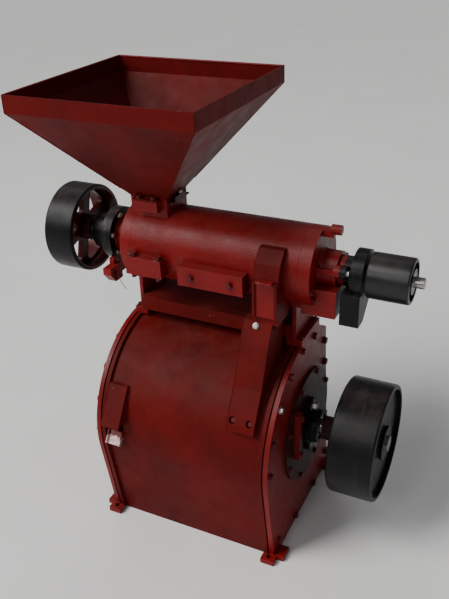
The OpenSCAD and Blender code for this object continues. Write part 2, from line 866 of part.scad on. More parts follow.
head_l = [-224, -casing_left - gap];
head_r = [casing_right + gap, 274];
head_bolt_d = 6;
head_bolt_shank = 44;
head_bolt_angles = [200, 218, 305, 340];
head_bolt_r = casing_r - 7;
neck_r = 44;
module head_sites_left() {
    ring_sites(head_l[0], head_bolt_r, head_bolt_angles) to_left() children();
}
module head_sites_right() {
    ring_sites(head_r[1], head_bolt_r, head_bolt_angles) to_right() children();
}
module head_holes() {
    head_sites_left() bolt_hole(head_bolt_d, head_bolt_shank);
    head_sites_right() bolt_hole(head_bolt_d, head_bolt_shank);
}
module head_bolts() {
    color(steel) {
        head_sites_left() hex_bolt(head_bolt_d, head_bolt_shank);
        head_sites_right() hex_bolt(head_bolt_d, head_bolt_shank);
    }
}

flange_angles = [46, 106, 166, 226, 286, 346];
flange_bolt_r = 55;
flange_bolt_d = 8;
flange_bolt_shank = 24;
left_flange_r = 68;
left_flange_x = [-298, -286, -272];    // bearing flange, then the head's flange
module left_bearing_sites() {
    ring_sites(left_flange_x[2], flange_bolt_r, flange_angles) to_right() children();
}
module left_bearing_holes() {
    left_bearing_sites() bolt_hole(flange_bolt_d, flange_bolt_shank);
}

module left_head() {
    color(red) difference() {
        union() {
            rod(head_l[0], head_l[1], casing_r);
            rod(left_flange_x[2] - 2, head_l[0] + 1, neck_r);
            rod(left_flange_x[1], left_flange_x[2], left_flange_r);
            // Lug under the bearing flange
            box(left_flange_x[1], left_flange_x[2], -60, 0, feed_h - 100, feed_h - 50);
            along_x(left_flange_x[1], -262) translate([0, feed_h])
                polygon([[-92, -66], [-92, -84], [-72, -108], [-40, -108], [-40, -66]]);
        }
        rod(head_l[0] + 10, head_l[1] + 1, casing_r - casing_t);
        rod(-far, far, feed_shaft_r + 3);
        head_holes();
        left_bearing_holes();
        rod(left_flange_x[1] - 1, -260, 6, -72, feed_h - 84);
    }
}

feed_ring_r = 30;
module left_bearing() {
    color(black) difference() {
        union() {
            rod(left_flange_x[0], left_flange_x[1], left_flange_r);
            rod(-340, left_flange_x[1], 46);
            rod(-344, -340, 34);
        }
        rod(-far, far, feed_shaft_r + 2);
        rod(-338, left_flange_x[1] + 1, feed_ring_r);
        left_bearing_holes();
    }
}

bearing_r_end = 382;
right_flange_x = [318, 332, 346];      // the head's two-bolt flange, then the bearing's
right_neck_r = 36;
right_ear_r = 15;        // radius of a flange's rounded ends
right_bolt_r = 56;
right_bolt_d = 8;
right_bolt_shank = 24;
right_bolt_angles = [160, 340];
// Two-bolt flange from x0 to x1
module right_flange(x0, x1) {
    rod(x0, x1, right_neck_r);
    ring_sites(x0, right_bolt_r, right_bolt_angles) to_right() cylinder(h = x1 - x0, r = right_ear_r);
    for (a = right_bolt_angles) translate([0, 0, feed_h]) rotate([a, 0, 0])
        box(x0, x1, right_neck_r - 4, right_bolt_r, 1 - right_ear_r, right_ear_r - 1);
}
module right_bearing_sites() {
    ring_sites(right_flange_x[2], right_bolt_r, right_bolt_angles) to_right() children();
}
module right_bearing_holes() {
    right_bearing_sites() bolt_hole(right_bolt_d, right_bolt_shank);
}
module right_head() {
    color(red) difference() {
        union() {
            rod(head_r[0], head_r[1], casing_r);
            rod(head_r[1] - 1, right_flange_x[0], neck_r);
            right_flange(right_flange_x[0], right_flange_x[1]);
            // Ribs between the head and the bearing flange
            for (a = [75, 180, 285]) translate([0, 0, feed_h]) rotate([a, 0, 0])
                box(head_r[1] - 1, right_flange_x[0], -6, 6, 20, neck_r + 12);
            // Foot block under the neck
            box(head_r[0], 326, -62, 40, feed_h - casing_r - 3, feed_h - 30);
            // Lifting lug on the top
            box(head_r[0], 300, -10, 10, feed_h + 80, feed_h + 96);
            rod(292, 316, 12, 0, feed_h + 97);
        }
        rod(head_r[0] - 1, head_r[1] - 12, casing_r - casing_t);
        rod(-far, far, feed_shaft_r + 3);
        head_holes();
        right_bearing_holes();
    }
}

bearing_drum_x = 354;    // inner face of the bearing's wide drum, clear of the bolt heads
module right_bearing() {
    color(black) difference() {
        union() {
            right_flange(right_flange_x[1], right_flange_x[2]);
            rod(right_flange_x[2] - 1, bearing_drum_x + 1, right_neck_r + 2);
            rod(bearing_drum_x, bearing_r_end, 58);
            // Bracket that hangs down in front of the bearing
            along_x(336, bearing_r_end) polygon([[-62, feed_h - 110], [-26, feed_h - 110],
                [34, feed_h - 58], [34, feed_h - 34], [-62, feed_h - 30]]);
        }
        rod(-far, far, feed_shaft_r + 2);
        rod(right_flange_x[1] - 1, 376, feed_ring_r);
        right_bearing_holes();
    }
}

module feed_bearing_rings() {
    color(steel) {
        tube(-338, left_flange_x[1], feed_ring_r, feed_shaft_r + fit);
        tube(right_flange_x[1], 376, feed_ring_r, feed_shaft_r + fit);
    }
}

module feed_bearing_bolts() {
    color(steel) {
        left_bearing_sites() hex_bolt(flange_bolt_d, flange_bolt_shank);
        right_bearing_sites() hex_bolt(right_bolt_d, right_bolt_shank);
    }
}

// ---- shaft group of the cylinder ----

left_pulley_x = [-441, -358];
right_pulley_x = [387, 486];
stub_r = 13;
stub_end = 510;
feed_key_w = 8;
module feed_keys(grow) {
    for (x = [[-432, -366], [398, 474]])
        box(x[0] - grow, x[1] + grow, -feed_key_w / 2 - grow, feed_key_w / 2 + grow,
            feed_h + feed_shaft_r - 3.5 - grow, feed_h + feed_shaft_r + 3.5 + grow);
}
module feed_shaft() {
    color(steel) difference() {
        union() {
            rod(left_pulley_x[0], right_pulley_x[1], feed_shaft_r);
            rod(right_pulley_x[1] - 1, stub_end, stub_r);
        }
        feed_keys(fit);
    }
}
module feed_pulley_keys() {
    color(dark_steel) feed_keys(0);
}

screw_x = [-192, -96];
module feed_screw() {
    color(dark_steel) difference() {
        union() {
            rod(screw_x[0], screw_x[1], 30);
            translate([screw_x[0], 0, feed_h]) rotate([0, 90, 0])
                linear_extrude(height = screw_x[1] - screw_x[0], twist = -450, slices = 24, $fn = 12)
                    translate([26, -5]) square([46, 10]);
        }
        rod(-far, far, feed_shaft_r + fit);
    }
}

module ribbed_roller() {
    color(dark_steel) difference() {
        union() {
            rod(-95, 238, roller_r);
            for (i = [0 : rib_count - 1]) translate([0, 0, feed_h]) rotate([i * 360 / rib_count, 0, 0])
                box(-95, 238, -5, 5, roller_r - 4, roller_r + rib_h);
        }
        rod(-far, far, feed_shaft_r + fit);
    }
}

spoke_count = 6;
module left_pulley() {
    x0 = left_pulley_x[0];
    x1 = left_pulley_x[1];
    mid = (x0 + x1) / 2;
    rim_in = left_pulley_r - 11;
    color(black) difference() {
        union() {
            pulley_rim(x0, x1, left_pulley_r, rim_in, 4, feed_h);
            rod(x0 + 8, x1 - 4, 33);
            // Spoked web: a disc whose windows leave the spokes
            difference() {
                rod(mid - 7, mid + 7, rim_in + 1);
                for (i = [0 : spoke_count - 1]) translate([0, 0, feed_h])
                    rotate([16 + i * 360 / spoke_count, 0, 0]) window(mid);
            }
        }
        rod(-far, far, feed_shaft_r + fit);
        feed_keys(fit);
    }
}
// One rounded window of the spoked pulley
module window(mid) {
    hull() {
        rod(mid - 10, mid + 10, 12, 0, 52, $fn = 32);
        rod(mid - 10, mid + 10, 12, 18, 84, $fn = 32);
        rod(mid - 10, mid + 10, 12, -18, 84, $fn = 32);
    }
}

module right_pulley() {
    x0 = right_pulley_x[0];
    x1 = right_pulley_x[1];
    color(black) difference() {
        union() {
            pulley_rim(x0, x1, right_pulley_r, 20, 4, feed_h);
            rod(x0, x1, 24);
        }
        difference() {
            rod(x1 - 10, x1 + 1, right_pulley_r - 9);
            rod(x1 - 11, x1 + 2, 30);
        }
        rod(-far, far, feed_shaft_r + fit);
        feed_keys(fit);
    }
}

// ---- hopper ----

frame_z = [neck_top, neck_top + 14];
hopper_flange_t = 5;
hopper_bolt_d = 8;
hopper_shank = 31;
throat_z = 897;          // where the funnel meets the short taper above the flange
taper_z = frame_z[1] + hopper_flange_t;
module hopper_sites() {
    for (x = [-20, 20], y = [-1, 1])
        translate([-hopper_x + x, y * (ear_y - 9), taper_z]) children();
}
module hopper_holes() {
    hopper_sites() bolt_hole(hopper_bolt_d, hopper_shank);
}
module hopper_bolts() {
    color(steel) hopper_sites() hex_bolt(hopper_bolt_d, hopper_shank);
}
// Square plate with the two bolt ears
module ear_plate(z0, z1) {
    box(-hopper_x - neck_w / 2, -hopper_x + neck_w / 2, -neck_w / 2, neck_w / 2, z0, z1);
    box(-hopper_x - ear_x, -hopper_x + ear_x, -ear_y, ear_y, z0, z1);
}

// Square pyramid frustum between side w0 at z0 and side w1 at z1
module frustum(w0, z0, w1, z1) {
    translate([-hopper_x, 0, z0]) linear_extrude(height = z1 - z0, scale = w1 / w0)
        square(w0, center = true);
}

module hopper() {
    funnel_top = hopper_top - hopper_band;
    wall = 2 * hopper_t;
    color(red) difference() {
        union() {
            translate([-hopper_x, 0, (hopper_top + funnel_top) / 2])
                cube([hopper_w, hopper_w, hopper_band], center = true);
            frustum(throat_w, throat_z, hopper_w, funnel_top);
            frustum(neck_w, taper_z, throat_w, throat_z);
            ear_plate(frame_z[1], taper_z);
        }
        translate([-hopper_x, 0, (hopper_top + funnel_top) / 2])
            cube([hopper_w - wall, hopper_w - wall, hopper_band + 1], center = true);
        frustum(throat_w - wall, throat_z, hopper_w - wall, funnel_top);
        frustum(inlet_w + 10, taper_z, throat_w - wall, throat_z);
        box(-hopper_x - inlet_w / 2, -hopper_x + inlet_w / 2, -inlet_w / 2, inlet_w / 2,
            frame_z[1] - 1, taper_z + 1);
        hopper_holes();
        // Clearance over the bolt heads
        hopper_sites() cylinder(h = 8, d = 2 * hopper_bolt_d + 2.4);
    }
}

gate_z = [frame_z[0] + 5, frame_z[0] + 9];
gate_half = 42;
module gate_frame() {
    color(deep_red) difference() {
        ear_plate(frame_z[0], frame_z[1]);
        box(-hopper_x - inlet_w / 2, -hopper_x + inlet_w / 2, -inlet_w / 2, inlet_w / 2,
            frame_z[0] - 1, frame_z[1] + 1);
        box(-hopper_x - gate_half - gap, 0, -gate_half - gap, gate_half + gap,
            gate_z[0] - gap, gate_z[1] + gap);
        hopper_holes();
    }
}

module feed_gate() {
    x_end = -hopper_x + neck_w / 2 + 12;
    color(dark_steel) {
        box(-hopper_x - gate_half, x_end, -gate_half, gate_half, gate_z[0], gate_z[1]);
        box(x_end - 4, x_end, -gate_half + 14, gate_half - 14, gate_z[0], gate_z[1] + 10);
    }
}

mill_wrapper();
mill_back_cover();
back_cover_bolts();
mill_left_plate();
mill_right_plate();
casing_gaskets();
casing_bolts();
mill_end_cover();
end_cover_bolts();
cover_clamp_bar();
inlet_partition();
mill_screen();
mill_bearings();
mill_bearing_rings();
mill_bearing_bolts();
rotor_shaft();
rotor_discs();
rotor_spacers();
hammer_pins();
hammers_1();
hammers_2();
hammers_3();
hammers_4();
shaft_collars();
mill_pulley();
mill_pulley_key();
outlet_spout();
outlet_lip();
feed_chute();
discharge_gate();
chute_bolts();
chute_joint_bolt();
support_table();
left_stand();
right_stand();
stand_bolts();
lower_casing();
upper_cover();
cover_bolts();
huller_screen();
huller_blade();
blade_screws();
blade_holder();
left_head();
right_head();
head_bolts();
left_bearing();
right_bearing();
feed_bearing_rings();
feed_bearing_bolts();
feed_shaft();
feed_screw();
ribbed_roller();
left_pulley();
right_pulley();
feed_pulley_keys();
hopper();
gate_frame();
feed_gate();
hopper_bolts();
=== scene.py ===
"""Looks of the farm mill: camera, floor, lights, materials, and the added visible pieces.
Everything is in metres, in the row frame: X along the shafts, Y towards the flat back, Z up."""
import math
import random

import bmesh
import bpy
from mathutils import Matrix, Vector, noise


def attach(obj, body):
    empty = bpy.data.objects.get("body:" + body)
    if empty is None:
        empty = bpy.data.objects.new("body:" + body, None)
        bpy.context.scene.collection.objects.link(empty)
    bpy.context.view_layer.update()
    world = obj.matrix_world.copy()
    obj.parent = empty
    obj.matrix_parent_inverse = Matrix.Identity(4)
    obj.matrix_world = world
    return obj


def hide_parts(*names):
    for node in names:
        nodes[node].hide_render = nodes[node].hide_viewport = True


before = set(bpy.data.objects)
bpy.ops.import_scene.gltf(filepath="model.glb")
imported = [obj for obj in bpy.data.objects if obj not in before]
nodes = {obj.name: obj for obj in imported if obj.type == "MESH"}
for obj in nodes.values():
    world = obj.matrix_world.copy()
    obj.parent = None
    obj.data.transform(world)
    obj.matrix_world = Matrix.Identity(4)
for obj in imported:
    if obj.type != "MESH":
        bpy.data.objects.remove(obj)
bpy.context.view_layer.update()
rng = random.Random(852)

# ---- main places, as in the CAD source ----
MILL_H = 0.285  # height of the lower shaft
SHEET_R = 0.252  # outside of the drum's sheet
FEED_H = 0.747  # height of the upper shaft
CASING_R = 0.096  # outside of the cylinder
HOPPER_X = -0.157
HOPPER_TOP = 1.148
HOPPER_BAND = 0.041  # height of the hopper's upright rim
HOPPER_HALF = 0.2375
THROAT_HALF = 0.066  # half the funnel's width at its low end
THROAT_Z = 0.897


# ---------------------------------------------------------------- materials

BEVEL_SAMPLES = 4
MIX_A, MIX_B, MIX_OUT = 6, 7, 2  # places of the Mix node's colour sockets


class Graph:
    """A material with one Principled shader, and short calls for its nodes."""

    def __init__(self, name):
        self.material = bpy.data.materials.new(name)
        self.material.use_nodes = True
        self.tree = self.material.node_tree
        self.tree.nodes.clear()
        self.shader = self.add("ShaderNodeBsdfPrincipled")
        out = self.add("ShaderNodeOutputMaterial")
        self.link(self.shader.outputs["BSDF"], out.inputs["Surface"])
        self.where = self.add("ShaderNodeTexCoord").outputs["Object"]

    def add(self, kind, **props):
        node = self.tree.nodes.new(kind)
        for key, value in props.items():
            setattr(node, key, value)
        return node

    def link(self, a, b):
        self.tree.links.new(a, b)

    def feed(self, socket, value):
        """Links a socket, or sets it to a plain number or colour."""
        if isinstance(value, bpy.types.NodeSocket):
            self.link(value, socket)
        elif isinstance(value, tuple) and len(value) == 3 and socket.type == "RGBA":
            socket.default_value = (*value, 1.0)
        else:
            socket.default_value = value

    def noise(self, scale, detail=3.0, rough=0.55, stretch=None):
        node = self.add("ShaderNodeTexNoise")
        where = self.where
        if stretch:
            mapping = self.add("ShaderNodeMapping")
            mapping.inputs["Scale"].default_value = stretch
            self.link(where, mapping.inputs["Vector"])
            where = mapping.outputs["Vector"]
        self.link(where, node.inputs["Vector"])
        node.inputs["Scale"].default_value = scale
        node.inputs["Detail"].default_value = detail
        node.inputs["Roughness"].default_value = rough
        return node.outputs["Fac"]

    def cells(self, scale):
        """Distance to the nearest of many scattered points."""
        node = self.add("ShaderNodeTexVoronoi", feature="F1")
        self.link(self.where, node.inputs["Vector"])
        node.inputs["Scale"].default_value = scale
        return node.outputs["Distance"]

    def ramp(self, value, low, high, a=0.0, b=1.0):
        """Runs from a to b, and no further, as value goes from low to high."""
        node = self.add("ShaderNodeMapRange")
        self.feed(node.inputs["Value"], value)
        node.inputs["From Min"].default_value = low
        node.inputs["From Max"].default_value = high
        node.inputs["To Min"].default_value = a
        node.inputs["To Max"].default_value = b
        return node.outputs["Result"]

    def math(self, operation, a, b):
        """A sum, difference or product, held between 0 and 1."""
        node = self.add("ShaderNodeMath", operation=operation, use_clamp=True)
        self.feed(node.inputs[0], a)
        self.feed(node.inputs[1], b)
        return node.outputs["Value"]

    def mix(self, share, a, b):
        """Colour a where share is 0, and b where it is 1."""
        node = self.add("ShaderNodeMix", data_type="RGBA")
        self.feed(node.inputs["Factor"], share)
        self.feed(node.inputs[MIX_A], a)
        self.feed(node.inputs[MIX_B], b)
        return node.outputs[MIX_OUT]

    def edges(self, radius):
        """1 on the sharp edges of the mesh, 0 away from them."""
        geometry = self.add("ShaderNodeNewGeometry")
        dot = self.add("ShaderNodeVectorMath", operation="DOT_PRODUCT")
        self.link(self.round_edges(radius), dot.inputs[0])
        self.link(geometry.outputs["Normal"], dot.inputs[1])
        return self.ramp(self.math("SUBTRACT", 1.0, dot.outputs["Value"]), 0.02, 0.25)

    def radius(self, height):
        """Distance from the line along X at that height, in metres."""
        offset = self.add("ShaderNodeVectorMath", operation="MULTIPLY_ADD")
        self.link(self.where, offset.inputs[0])
        offset.inputs[1].default_value = (0.0, 1.0, 1.0)
        offset.inputs[2].default_value = (0.0, 0.0, -height)
        length = self.add("ShaderNodeVectorMath", operation="LENGTH")
        self.link(offset.outputs["Vector"], length.inputs[0])
        return length.outputs["Value"]

    def along(self, axis):
        """One coordinate in the row frame, in metres."""
        split = self.add("ShaderNodeSeparateXYZ")
        self.link(self.where, split.inputs[0])
        return split.outputs[axis]

    def upward(self):
        """1 where the surface faces up."""
        geometry = self.add("ShaderNodeNewGeometry")
        split = self.add("ShaderNodeSeparateXYZ")
        self.link(geometry.outputs["Normal"], split.inputs[0])
        return self.ramp(split.outputs["Z"], 0.3, 0.95)

    def bump(self, height, distance, strength=1.0, normal=None):
        node = self.add("ShaderNodeBump")
        self.feed(node.inputs["Height"], height)
        node.inputs["Distance"].default_value = distance
        node.inputs["Strength"].default_value = strength
        if normal is not None:
            self.link(normal, node.inputs["Normal"])
        return node.outputs["Normal"]

    def round_edges(self, radius):
        """Normals that turn smoothly over the sharp edges."""
        node = self.add("ShaderNodeBevel", samples=BEVEL_SAMPLES)
        node.inputs["Radius"].default_value = radius
        return node.outputs["Normal"]

    def finish(self, colour, roughness, normal=None, metallic=0.0, shine=None):
        self.feed(self.shader.inputs["Base Color"], colour)
        self.feed(self.shader.inputs["Roughness"], roughness)
        self.feed(self.shader.inputs["Metallic"], metallic)
        if normal is not None:
            self.link(normal, self.shader.inputs["Normal"])
        if shine is not None:
            self.shader.inputs["Specular IOR Level"].default_value = shine
        return self.material


DUST = (0.16, 0.085, 0.06)
# Worn-edge primer and metal colours, made light so that worn edges also act as painted edge highlights
PRIMER_AND_EDGE_HIGHLIGHT = (0.24, 0.070, 0.062)
BARE_METAL_AND_EDGE_HIGHLIGHT = (0.38, 0.31, 0.30)
RUST = (0.14, 0.06, 0.03)
BLACK = (0.0035, 0.0035, 0.0045)
BELT_GREY = (0.07, 0.07, 0.08)
EDGE_GREY = (0.18, 0.17, 0.165)
FLANGE_X = -0.2714  # the left head's flange is beyond this place
FLANGE_R = 0.069
PAINT_LINE = 0.0002  # half the width over which one paint turns into the other
SPOKES_R = 0.1075  # inside of the spoked pulley's rim
HUB_R = 0.032


def scaled(colour, factor):
    """The colour made lighter or darker, with no channel above 1."""
    return tuple(min(1.0, channel * factor) for channel in colour)


def enamel(name, base, dark, grain, depth, edge_r, chips, dust, gloss, shine=0.22, black_flange=False):
    """Brushed gloss paint over metal: grain is the bump's scale, depth its height in metres."""
    g = Graph(name)
    broad = g.noise(5.0, 4.0, 0.6)
    fine = g.noise(60.0, 4.0, 0.6)
    colour = g.mix(g.ramp(broad, 0.35, 0.65), dark, base)
    warm = (1.15 * base[0], 1.9 * base[1], 1.2 * base[2])
    colour = g.mix(g.ramp(fine, 0.45, 0.8, 0.0, 0.35), colour, warm)
    # Runs and streaks down the upright faces
    runs = g.noise(30.0, 3.0, 0.5, stretch=(1.0, 1.0, 0.12))
    colour = g.mix(g.ramp(runs, 0.55, 0.8, 0.0, 0.45), colour, dark)
    if black_flange:
        beyond = g.ramp(g.along("X"), FLANGE_X - PAINT_LINE, FLANGE_X + PAINT_LINE, 1.0, 0.0)
        within = g.ramp(g.radius(FEED_H), FLANGE_R - PAINT_LINE, FLANGE_R + PAINT_LINE, 1.0, 0.0)
        colour = g.mix(g.math("MULTIPLY", beyond, within), colour, BLACK)
    # Dust and meal lie on what faces up
    lying = g.math("MULTIPLY", g.upward(), g.ramp(g.noise(18.0, 5.0, 0.65), 0.35, 0.75, 0.0, dust))
    colour = g.mix(lying, colour, DUST)
    # Paint worn through on edges, first to the primer and then to metal; both colours are made light, so
    # the worn edges are also painted edge highlights
    edge = g.edges(edge_r)
    wear = g.math("MULTIPLY", edge, g.ramp(g.noise(45.0, 6.0, 0.7), 0.62 - 0.16 * chips, 0.72))
    colour = g.mix(g.ramp(wear, 0.15, 0.35), colour, PRIMER_AND_EDGE_HIGHLIGHT)
    colour = g.mix(g.ramp(wear, 0.5, 0.7), colour, BARE_METAL_AND_EDGE_HIGHLIGHT)
    # A few small chips on the open faces
    speck = g.math("MULTIPLY", g.ramp(g.cells(55.0), 0.10, 0.07), g.ramp(g.noise(9.0, 2.0), 0.60, 0.66))
    colour = g.mix(speck, colour, PRIMER_AND_EDGE_HIGHLIGHT)
    rough = g.math("ADD", g.ramp(g.noise(24.0, 4.0), 0.3, 0.75, gloss, gloss + 0.16),
                   g.math("MULTIPLY", lying, 0.9))
    rough = g.math("ADD", rough, g.math("MULTIPLY", wear, 0.3))
    waves = g.math("MULTIPLY", g.noise(grain * 0.18, 2.0), 0.8)
    height = g.math("ADD", g.noise(grain, 4.0, 0.6), waves)
    height = g.math("SUBTRACT", height, g.math("MULTIPLY", g.math("ADD", wear, speck), 0.35))
    normal = g.bump(height, depth, 0.8, g.round_edges(edge_r * 0.6))
    return g.finish(colour, rough, normal, shine=shine)


def steel(name, base, dark, rough_low, rough_high, rust, turned=False):
    """Bare metal with turning or grinding marks, darkened and a little rusty in patches."""
    edge_r = 0.0008
    g = Graph(name)
    patch = g.ramp(g.noise(35.0, 5.0, 0.65), 0.4, 0.7)
    colour = g.mix(patch, base, dark)
    spots = g.ramp(g.noise(120.0, 6.0, 0.7), 0.6, 0.72, 0.0, rust * 3.0)
    colour = g.mix(spots, colour, RUST)
    colour = g.mix(g.math("MULTIPLY", g.edges(edge_r), 0.5), colour, scaled(base, 1.5))
    if turned:
        lines = g.noise(900.0, 2.0, 0.5, stretch=(1.0, 0.02, 0.02))
        depth = 0.00012
    else:
        lines = g.noise(500.0, 3.0, 0.6)
        depth = 0.00018
    rough = g.math("ADD", g.ramp(lines, 0.3, 0.7, rough_low, rough_high), g.math("MULTIPLY", spots, 0.5))
    normal = g.bump(lines, depth, 0.7, g.round_edges(edge_r))
    return g.finish(colour, rough, normal, metallic=g.ramp(spots, 0.0, 0.6, 1.0, 0.35))


def rubber(name):
    """Oiled black felt and rubber."""
    g = Graph(name)
    colour = g.mix(g.ramp(g.noise(40.0, 4.0), 0.35, 0.7), (0.012, 0.011, 0.011), (0.05, 0.035, 0.03))
    height = g.noise(700.0, 4.0, 0.7)
    return g.finish(colour, g.ramp(g.noise(90.0), 0.3, 0.7, 0.6, 0.85), g.bump(height, 0.0002))


def pulley_paint(name, shine=0.16, red_spokes=False):
    """Black enamel, rubbed grey in bands where a belt has run; the spokes may be red."""
    g = Graph(name)
    broad = g.noise(12.0, 4.0)
    colour = g.mix(g.ramp(broad, 0.35, 0.7), BLACK, scaled(BLACK, 1.9))
    if red_spokes:
        within = g.ramp(g.radius(FEED_H), SPOKES_R, SPOKES_R + 0.0015, 1.0, 0.0)
        beyond = g.ramp(g.radius(FEED_H), HUB_R - 0.002, HUB_R + 0.002)
        red = g.mix(broad, (0.040, 0.0045, 0.0045), (0.075, 0.0055, 0.0055))
        colour = g.mix(g.math("MULTIPLY", within, beyond), colour, red)
    bands = g.ramp(g.noise(70.0, 3.0, 0.6, stretch=(1.0, 0.15, 0.15)), 0.5, 0.75)
    rubbed = g.math("MULTIPLY", bands, g.ramp(g.noise(7.0, 2.0), 0.45, 0.6))
    wear = g.math("MULTIPLY", g.edges(0.0016), g.ramp(g.noise(60.0, 6.0, 0.7), 0.5, 0.68))
    colour = g.mix(g.math("MULTIPLY", rubbed, 0.35), colour, BELT_GREY)
    colour = g.mix(wear, colour, EDGE_GREY)
    lying = g.math("MULTIPLY", g.upward(), g.ramp(g.noise(20.0, 5.0, 0.65), 0.4, 0.75, 0.0, 0.16))
    colour = g.mix(lying, colour, DUST)
    rough = g.math("ADD", g.ramp(g.noise(30.0, 4.0), 0.3, 0.75, 0.28, 0.42), g.math("MULTIPLY", lying, 0.8))
    height = g.math("ADD", g.noise(380.0, 4.0, 0.6), g.math("MULTIPLY", g.noise(60.0, 2.0), 0.8))
    normal = g.bump(height, 0.0003, 0.8, g.round_edges(0.0010))
    return g.finish(colour, rough, normal, shine=shine)


def worn_paint_and_highlight(name, base, bare_and_highlight, z_paint, z_bare_and_highlight):
    """Paint rubbed off towards the lower edge, down to a light pinkish metal colour where the meal runs;
    that light pinkish colour is also a painted highlight.
    """
    g = Graph(name)
    ragged = g.math("ADD", g.ramp(g.along("Z"), z_paint, z_bare_and_highlight, 0.0, 0.8),
                    g.ramp(g.noise(90.0, 5.0, 0.7), 0.3, 0.7, 0.0, 0.4))
    rubbed = g.ramp(ragged, 0.45, 0.6)
    metal = g.mix(g.ramp(g.noise(160.0, 4.0), 0.35, 0.7), bare_and_highlight, scaled(bare_and_highlight, 0.6))
    colour = g.mix(rubbed, base, metal)
    rough = g.ramp(g.noise(200.0, 3.0), 0.3, 0.7, 0.28, 0.5)
    height = g.math("SUBTRACT", g.noise(300.0, 3.0), g.math("MULTIPLY", rubbed, 0.3))
    normal = g.bump(height, 0.0004, 0.8, g.round_edges(0.0008))
    return g.finish(colour, rough, normal, metallic=g.ramp(rubbed, 0.0, 1.0, 0.0, 0.7))


CAST_LOOK = dict(base=(0.19, 0.0052, 0.0062), dark=(0.115, 0.0040, 0.0044), grain=300.0, depth=0.0007,
                 edge_r=0.0022, chips=0.6, dust=0.16, gloss=0.28, shine=0.17)
red_sheet = enamel("red_sheet_enamel", base=(0.112, 0.0040, 0.0038), dark=(0.062, 0.0030, 0.0030),
                   grain=420.0, depth=0.00025, edge_r=0.0012, chips=0.45, dust=0.14, gloss=0.46, shine=0.08)
# The lighter of the two reds: the castings' paint, and painted light where it is put on the discharge gate
# and the hopper's rim edge
red_cast_and_painted_light = enamel("red_cast_enamel", **CAST_LOOK)
deep_red = enamel("deep_red_enamel", base=(0.050, 0.0036, 0.0036), dark=(0.024, 0.0028, 0.0028),
                  grain=320.0, depth=0.0006, edge_r=0.0018, chips=0.7, dust=0.35, gloss=0.36)
red_bolt = enamel("red_fastener_enamel", base=(0.115, 0.0045, 0.005), dark=(0.055, 0.0035, 0.0038),
                  grain=500.0, depth=0.0002, edge_r=0.0008, chips=0.9, dust=0.2, gloss=0.30)
red_head = enamel("red_head_enamel", **CAST_LOOK, black_flange=True)
black = pulley_paint("black_enamel")
black_spoked = pulley_paint("black_spoked_enamel", red_spokes=True)
black_gloss = pulley_paint("black_gloss_enamel", shine=0.42)
bright = steel("bright_steel", (0.42, 0.41, 0.40), (0.22, 0.20, 0.18), 0.22, 0.42, rust=0.15, turned=True)
dark_metal = steel("dark_steel", (0.16, 0.15, 0.14), (0.07, 0.06, 0.055), 0.35, 0.6, rust=0.25)
zinc = steel("zinc_fastener", (0.50, 0.49, 0.47), (0.28, 0.26, 0.23), 0.28, 0.5, rust=0.12)
# The outlet lip turns light pinkish towards its lower edge: partly worn metal, partly a painted highlight
lip_wear_and_highlight = worn_paint_and_highlight("worn_lip_paint", (0.12, 0.006, 0.007), (0.75, 0.52, 0.50), 0.300, 0.283)
felt = rubber("gasket_rubber")

SHEET_NODES = "mill_wrapper mill_back_cover outlet_spout feed_chute support_table hopper".split()
# The discharge gate takes the lighter cast red instead of the sheet red, as painted light on the upper
# panel
CAST_AND_PAINTED_LIGHT_NODES = (
    "mill_left_plate mill_right_plate left_stand right_stand lower_casing upper_cover"
    " blade_holder right_head cover_clamp_bar discharge_gate gate_frame"
).split()
BRIGHT_NODES = (
    "rotor_shaft feed_shaft mill_bearing_rings feed_bearing_rings rotor_spacers hammer_pins"
    " mill_screen huller_screen huller_blade"
).split()
FINISH = {
    "mill_end_cover": deep_red,
    "feed_gate": deep_red,
    "shaft_collars": deep_red,
    "mill_bearings": black,
    "left_bearing": black,
    "right_bearing": black,
    "left_pulley": black_spoked,
    "right_pulley": black_gloss,
    "left_head": red_head,
    "mill_pulley": black,
    "casing_gaskets": felt,
    "outlet_lip": lip_wear_and_highlight,
}
for name, node in nodes.items():
    if name in SHEET_NODES:
        finish = red_sheet
    elif name in CAST_AND_PAINTED_LIGHT_NODES:
        finish = red_cast_and_painted_light
    elif name in BRIGHT_NODES:
        finish = bright
    else:
        finish = FINISH.get(name, dark_metal)
    node.data.materials.clear()
    node.data.materials.append(finish)


# ---------------------------------------------------------------- mesh helpers


def placed(name, data):
    """A new object with this data, linked into the scene."""
    obj = bpy.data.objects.new(name, data)
    bpy.context.scene.collection.objects.link(obj)
    return obj


def make(name, bm, body, finish, smooth=35.0):
    """Makes an object of a bmesh, in the row frame, riding on a body."""
    bmesh.ops.recalc_face_normals(bm, faces=bm.faces)
    mesh = bpy.data.meshes.new(name)
    bm.to_mesh(mesh)
    bm.free()
    obj = placed(name, mesh)
    mesh.materials.append(finish)
    mesh.shade_smooth()
    mesh.set_sharp_from_angle(angle=math.radians(smooth))
    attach(obj, body)
    return obj


def basis(axis, spin=0.0):
    """Matrix whose Z is axis, turned by spin about it."""
    z = Vector(axis).normalized()
    x = Vector((1, 0, 0)) if abs(z.x) < 0.9 else Vector((0, 1, 0))
    x = (x - z * x.dot(z)).normalized()
    y = z.cross(x)
    turn = Matrix((x, y, z)).transposed().to_4x4()
    return turn @ Matrix.Rotation(spin, 4, "Z")


def full_turn(sides):
    """Angles of a ring of points."""
    return [2 * math.pi * i / sides for i in range(sides)]


def skin(bm, loops, closed=False):
    """Faces between neighbouring rings of points. The ends are capped, or joined if closed."""
    following = loops[1:] + loops[:1] if closed else loops[1:]
    for low, high in zip(loops, following):
        for i in range(len(low)):
            j = (i + 1) % len(low)
            bm.faces.new((low[i], low[j], high[j], high[i]))
    if not closed:
        bm.faces.new(loops[0][::-1])
        bm.faces.new(loops[-1])


